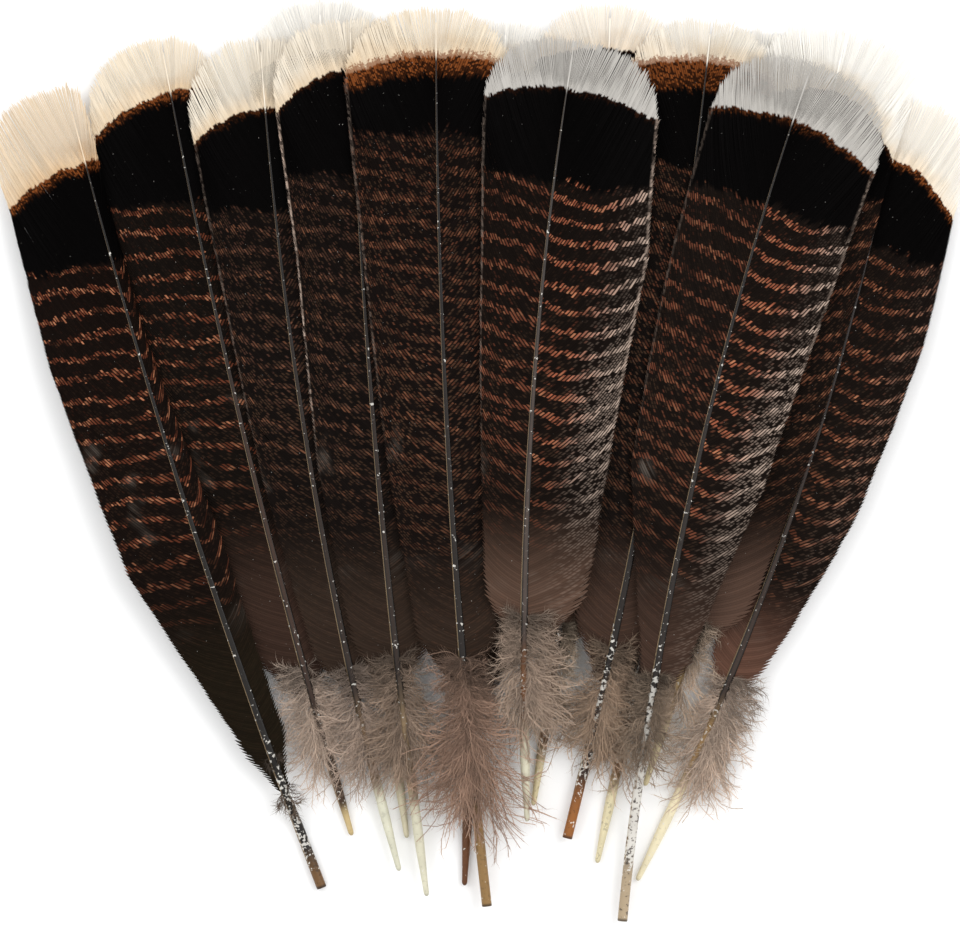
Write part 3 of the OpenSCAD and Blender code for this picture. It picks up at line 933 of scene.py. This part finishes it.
def shaft_piece(n, f, material):
    """A shaft: round hollow quill, then a ridged, grooved shaft that thins to the tip."""
    end = f.length - f.shaft_short
    s = np.concatenate([[0.0, 0.25, 0.7, 1.4, 2.4, 4, 6, 9, 12], np.linspace(15, end, 92)])
    a = 2 * math.pi * (np.arange(SIDES) + 0.5) / SIDES
    c = np.cos(a)
    d = np.sin(a)
    dent = np.exp(-((c / 0.35) ** 2))
    # A whole quill tapers to a rounded end
    if f.cut:
        taper = np.ones(len(s))
    else:
        taper = mix(0.55, 1.0, ease(share(s, 0, 26))) * np.sqrt(1 - (1 - share(s, -0.05, 1.6)) ** 2)
    taper = taper * mix(1.0, 0.62, f.along(s))
    rows = [(q, 0.5 * f.shaft_width(q) * t, 0.5 * f.shaft_height(q) * t) for q, t in zip(s, taper)]
    if f.cut:
        # The hollow, from its closed end out to a flared mouth and a rounded rim
        deep = f.hollow_depth
        bore = ((deep, 0.05), (deep, 0.7), (deep - 0.6, 1), (6, 1), (0.3, 1), (0, 1.12))
        inner = [(q, f.hollow_r * r, f.hollow_r * r) for q, r in bore]
        rows = inner + [(0, f.quill_r * 0.9, f.quill_r * 0.9)] + rows[1:]
    points = []
    run = []
    for q, w, h in rows:
        grown = float(share(q, f.quill_straight, f.base + 20))
        # The section turns from round to squarer, with a deep groove below and a slight one on top
        power = mix(1.0, 0.72, grown)
        across = np.sign(c) * np.abs(c) ** power * w
        up = np.sign(d) * np.abs(d) ** power * h
        up = np.where(d < 0, up + 0.35 * h * dent * grown, up - 0.16 * h * dent * grown)
        x, y = f.plan(q, across)
        z = f.shaft_middle(q) + up
        points.append(np.stack([x, y, np.maximum(z, 0.02)], 1))
        run.append(np.stack([np.full(SIDES, q), c, np.full(SIDES, f.length - q)], 1))
    last = (len(rows) - 1) * SIDES
    faces = [list(range(SIDES))[::-1], list(range(last, last + SIDES))]
    for i in range(0, last, SIDES):
        for j in range(SIDES):
            m = (j + 1) % SIDES
            faces.append([i + j, i + m, i + SIDES + m, i + SIDES + j])
    kept = [("run", "FLOAT_VECTOR", np.concatenate(run))]
    piece = finished(f"quill_{n + 1:02d}", np.concatenate(points), faces, material, kept, smooth=True)
    hand_over(piece, n, "shaft")


def down_tree():
    """Geometry Nodes that make down from the strands' middle lines: each strand is a thin
    tapering thread, and carries fine bent hairs that leave it at random."""
    tree, given, out = new_group(
        "down_strands",
        "GeometryNodeTree",
        [
            ("Strands", "NodeSocketGeometry", None),
            ("Strand radius", "NodeSocketFloat", 0.0002),
            ("Hair radius", "NodeSocketFloat", 0.0001),
            ("Hair length", "NodeSocketFloat", 0.005),
            ("Hairs", "NodeSocketInt", 16),
            ("Seed", "NodeSocketInt", 1),
            ("Finish", "NodeSocketMaterial", None),
        ],
        [("Down", "NodeSocketGeometry")],
    )
    g = given.outputs
    lines = add(tree, "GeometryNodeMeshToCurve", {0: g["Strands"]}).outputs[0]
    place = add(tree, "GeometryNodeSplineParameter").outputs["Factor"]
    thin = add(tree, "ShaderNodeMath", {0: place, 1: -0.72, 2: 1.0}, operation="MULTIPLY_ADD").outputs[0]
    lines = add(tree, "GeometryNodeSetCurveRadius", {"Curve": lines, "Radius": thin}).outputs[0]
    lines = add(tree, "GeometryNodeSetCurveNormal", {"Curve": lines}, mode="Z_UP").outputs[0]
    ring = add(tree, "GeometryNodeCurvePrimitiveCircle", {"Resolution": 3, "Radius": g["Strand radius"]})
    thread = add(tree, "GeometryNodeCurveToMesh",
                 {"Curve": lines, "Profile Curve": ring.outputs[0], "Fill Caps": True}).outputs[0]
    dots = add(tree, "GeometryNodeCurveToPoints", {"Curve": lines, "Count": g["Hairs"]})
    shape = {"Vertices": 3, "Side Segments": 2, "Radius Bottom": g["Hair radius"], "Depth": g["Hair length"]}
    cone = add(tree, "GeometryNodeMeshCone", shape, fill_type="NGON").outputs[0]
    spot = add(tree, "GeometryNodeInputPosition").outputs[0]
    x, y, z = add(tree, "ShaderNodeSeparateXYZ", {0: spot}).outputs
    # A hair bends by the square of its height: 1.2 mm at 4.2 mm
    square = add(tree, "ShaderNodeMath", {0: z, 1: z}, operation="MULTIPLY").outputs[0]
    bent = add(tree, "ShaderNodeMath", {0: square, 1: 70.0}, operation="MULTIPLY").outputs[0]
    move = add(tree, "ShaderNodeCombineXYZ", {0: bent}).outputs[0]
    hair = add(tree, "GeometryNodeSetPosition", {"Geometry": cone, "Offset": move}).outputs[0]
    seed2 = add(tree, "ShaderNodeMath", {0: g["Seed"], 1: 31.0}, operation="ADD").outputs[0]
    span = {"Min": (-0.3, -1.1, -0.6), "Max": (0.3, 1.1, 0.6), "Seed": g["Seed"]}
    lean = add(tree, "FunctionNodeRandomValue", span, data_type="FLOAT_VECTOR").outputs[0]
    turned = {0: dots.outputs["Rotation"], 1: lean}
    turned = add(tree, "FunctionNodeRotateRotation", turned, rotation_space="LOCAL").outputs[0]
    size = {2: 0.45, 3: 1.25, "Seed": seed2}
    size = add(tree, "FunctionNodeRandomValue", size, data_type="FLOAT").outputs[1]
    placed = {"Points": dots.outputs["Points"], "Instance": hair, "Rotation": turned, "Scale": size}
    hairs = add(tree, "GeometryNodeInstanceOnPoints", placed).outputs[0]
    both = add(tree, "GeometryNodeJoinGeometry")
    tree.links.new(thread, both.inputs[0])
    tree.links.new(hairs, both.inputs[0])
    solid = add(tree, "GeometryNodeRealizeInstances", {0: both.outputs[0]}).outputs[0]
    # No hair goes through the table
    up = add(tree, "ShaderNodeMath", {0: z, 1: 0.2 * MM}, operation="MAXIMUM").outputs[0]
    kept = add(tree, "ShaderNodeCombineXYZ", {0: x, 1: y, 2: up}).outputs[0]
    solid = add(tree, "GeometryNodeSetPosition", {"Geometry": solid, "Position": kept}).outputs[0]
    done = add(tree, "GeometryNodeSetMaterial", {"Geometry": solid, "Material": g["Finish"]}).outputs[0]
    tree.links.new(done, out.inputs[0])
    return tree


def down_lines(n, f, chance):
    """Middle lines of a tuft's strands, as vertices, edges and a shade for each."""
    left, right, back, strands, _ = TUFTS[n]
    points = []
    edges = []
    shades = []
    for q in range(strands):
        if q % LOCK == 0:
            # The strands of a lock share a root, a direction and a shade
            side = -1 if chance.random() < left / (left + right) else 1
            reach = left if side < 0 else right
            root = chance.random() ** 1.2
            turned = chance.normal(0, 16)
            lock_curl = chance.normal(0.1, 0.9)
            lock_size = chance.uniform(0.45, 1.0)
            lock_shade = chance.random()
            # In the longest tuft some locks hang down over the quill
            hanging = back > 40 and chance.random() < 0.3
        t = min(1.0, max(0.0, root + chance.normal(0, 0.09)))
        s0 = mix(f.base - min(back * 0.6, f.base - 26), f.base + 14, t)
        # strands near the quill hang back along it, and those among the vanes lean forward
        angle = math.radians(mix(160, 96, t**0.8) + turned + chance.normal(0, 11))
        size = mix(back, reach * 1.1, ease(min(1, t * 1.7))) * lock_size * chance.uniform(0.75, 1.0)
        size *= mix(1.0, 0.6, t)
        curl = lock_curl + chance.normal(0, 0.4)
        arch = chance.uniform(0.3, 2.2)
        start = chance.uniform(1.0, 1.8)
        if hanging:
            angle = math.radians(180 + 1.5 * turned + chance.normal(0, 6))
            start = -0.6
        s = s0
        u = side * start
        shade = mix(chance.random(), lock_shade, 0.65)
        phase = chance.uniform(0, 6.3)
        swing = chance.uniform(0.1, 0.4)
        for m in range(STRAND_POINTS):
            r = m / (STRAND_POINTS - 1)
            if m:
                bend = angle + curl * (r - 0.3) + swing * math.sin(8 * r + phase)
                s += math.cos(bend) * size / (STRAND_POINTS - 1)
                u += side * math.sin(bend) * size / (STRAND_POINTS - 1)
            x, y = f.plan(s, u)
            lift = f.shaft_height(s) * 0.30 + 0.4 + arch * math.sin(math.pi * min(1, r * 0.9 + 0.05))
            z = float(f.shaft_z(np.clip(s, 0, None))) + float(lift) - 0.02 * abs(u) + chance.normal(0, 0.05)
            points.append((float(x), float(y), max(z, STRAND_LOW)))
            shades.append(0.85 * shade + 0.3 * r - 0.1 - 0.6 * t**2)
            if m:
                edges.append((len(points) - 2, len(points) - 1))
    return points, edges, shades


def down_piece(n, f, sizes, tree, material):
    """A tuft of down, made by the down tree along this feather's own strands."""
    chance = np.random.default_rng(sizes.seed * 100 + n)
    points, edges, shades = down_lines(n, f, chance)
    mesh = bpy.data.meshes.new(f"strands_{n + 1:02d}")
    mesh.from_pydata([tuple(c * MM for c in p) for p in points], edges, [])
    shade = mesh.attributes.new("shade", "FLOAT", "POINT")
    shade.data.foreach_set("value", shades)
    lines = bpy.data.objects.new(f"strands_{n + 1:02d}", mesh)
    bpy.context.scene.collection.objects.link(lines)
    modifier = lines.modifiers.new("Down", "NODES")
    modifier.node_group = tree
    values = {
        "Strand radius": sizes.strand,
        "Hair radius": sizes.hair,
        "Hair length": sizes.barbule,
        "Hairs": sizes.hairs,
        "Seed": sizes.seed + n,
        "Finish": material,
    }
    for item in tree.interface.items_tree:
        if item.in_out == "INPUT" and item.name in values:
            modifier[item.identifier] = values[item.name]
    evaluated = lines.evaluated_get(bpy.context.evaluated_depsgraph_get())
    made = bpy.data.meshes.new_from_object(evaluated)
    made.name = f"down_{n + 1:02d}"
    piece = bpy.data.objects.new(f"down_{n + 1:02d}", made)
    bpy.context.scene.collection.objects.link(piece)
    lines.modifiers.remove(modifier)
    bpy.data.objects.remove(lines)
    hand_over(piece, n, "down")


class FAN_OT_vanes(bpy.types.Operator):
    """Lay the barbs of the twenty-eight vanes"""

    bl_idname = "fan.vanes"
    bl_label = "Vanes"

    def execute(self, context):
        scene = context.scene
        pattern = vane_pattern(scene.fan_colours)
        for n in range(len(FEATHERS)):
            f = Feather(n, scene.fan_sizes)
            material = keratin_barbs(n, pattern)
            for side in (-1, 1):
                vane_piece(n, f, side, scene.fan_barbs, material)
        return {"FINISHED"}


class FAN_OT_shafts(bpy.types.Operator):
    """Draw the fourteen shafts with their quills"""

    bl_idname = "fan.shafts"
    bl_label = "Shafts"

    def execute(self, context):
        scene = context.scene
        for n in range(len(FEATHERS)):
            f = Feather(n, scene.fan_sizes)
            shaft_piece(n, f, horn(n, f, scene.fan_colours))
        return {"FINISHED"}


class FAN_OT_down(bpy.types.Operator):
    """Grow the tuft of down on each quill"""

    bl_idname = "fan.down"
    bl_label = "Down"

    def execute(self, context):
        scene = context.scene
        tree = down_tree()
        for n in range(len(FEATHERS)):
            down_piece(n, Feather(n, scene.fan_sizes), scene.fan_down, tree, soft_down(n))
        return {"FINISHED"}


class FAN_OT_stage(bpy.types.Operator):
    """Set out the pale table, the soft lights and the camera above"""

    bl_idname = "fan.stage"
    bl_label = "Stage"

    def execute(self, context):
        scene = context.scene
        mesh = bpy.data.meshes.new("table")
        mesh.from_pydata([(-2, -2, 0), (2, -2, 0), (2, 2, 0), (-2, 2, 0)], [], [(0, 1, 2, 3)])
        table = bpy.data.objects.new("table", mesh)
        scene.collection.objects.link(table)
        # Matt paper, which stays white and gives no highlight
        paper, tree, shader = new_material("matt_white_paper")
        white = (0.97, 0.97, 0.97, 1)
        feed(tree, shader, {"Base Color": white, "Roughness": 0.9, "Specular IOR Level": 0.1})
        mesh.materials.append(paper)
        table.location.z = -0.1 * MM
        world = bpy.data.worlds.new("white_room")
        world.use_nodes = True
        feed(world.node_tree, world.node_tree.nodes["Background"], {"Color": (1, 1, 1, 1), "Strength": 1.0})
        scene.world = world
        # Name, place and size in metres and power in watts of each soft light
        for name, spot, size, power in (
            ("soft_right", (1.0, 0.5, 1.5), 0.9, 9.0),
            ("soft_left", (-1.2, 0.7, 1.6), 1.2, 7.0),
        ):
            light = bpy.data.lights.new(name, "AREA")
            light.size = size
            light.energy = power
            lamp = bpy.data.objects.new(name, light)
            lamp.location = spot
            lamp.rotation_euler = (-Vector(spot)).to_track_quat("-Z", "Y").to_euler()
            scene.collection.objects.link(lamp)
        scene.view_settings.view_transform = "Standard"
        lens = bpy.data.cameras.new("camera")
        lens.lens = LENS
        lens.sensor_width = SENSOR
        lens.clip_end = 20
        camera = bpy.data.objects.new("camera", lens)
        camera.location = (-0.0008, -0.0046, VIEW_WIDTH * LENS / SENSOR)
        scene.collection.objects.link(camera)
        scene.camera = camera
        return {"FINISHED"}


class FAN_PT_panel(bpy.types.Panel):
    """Sizes, colours and steps of the feather fan"""

    bl_idname = "FAN_PT_panel"
    bl_label = "Feather Fan"
    bl_space_type = "VIEW_3D"
    bl_region_type = "UI"
    bl_category = "Feather Fan"

    def draw(self, context):
        for key in GROUPS:
            group = getattr(context.scene, key)
            box = self.layout.box()
            for name in group.bl_rna.properties.keys():
                if name not in ("rna_type", "name"):
                    box.prop(group, name)
        for step in STEPS:
            self.layout.operator(step.bl_idname)


STEPS = (FAN_OT_stage, FAN_OT_shafts, FAN_OT_vanes, FAN_OT_down)
GROUPS = {"fan_sizes": FanSizes, "fan_barbs": BarbSizes, "fan_down": DownSizes, "fan_colours": FanColours}


def register():
    for kind in (*GROUPS.values(), *STEPS, FAN_PT_panel):
        bpy.utils.register_class(kind)
    for name, kind in GROUPS.items():
        setattr(bpy.types.Scene, name, PointerProperty(type=kind))


def unregister():
    for name in GROUPS:
        delattr(bpy.types.Scene, name)
    for kind in reversed((*GROUPS.values(), *STEPS, FAN_PT_panel)):
        bpy.utils.unregister_class(kind)


def main():
    register()
    bpy.ops.fan.stage()
    bpy.ops.fan.shafts()
    bpy.ops.fan.vanes()
    bpy.ops.fan.down()
    bpy.context.view_layer.update()


if __name__ == "__main__":
    main()
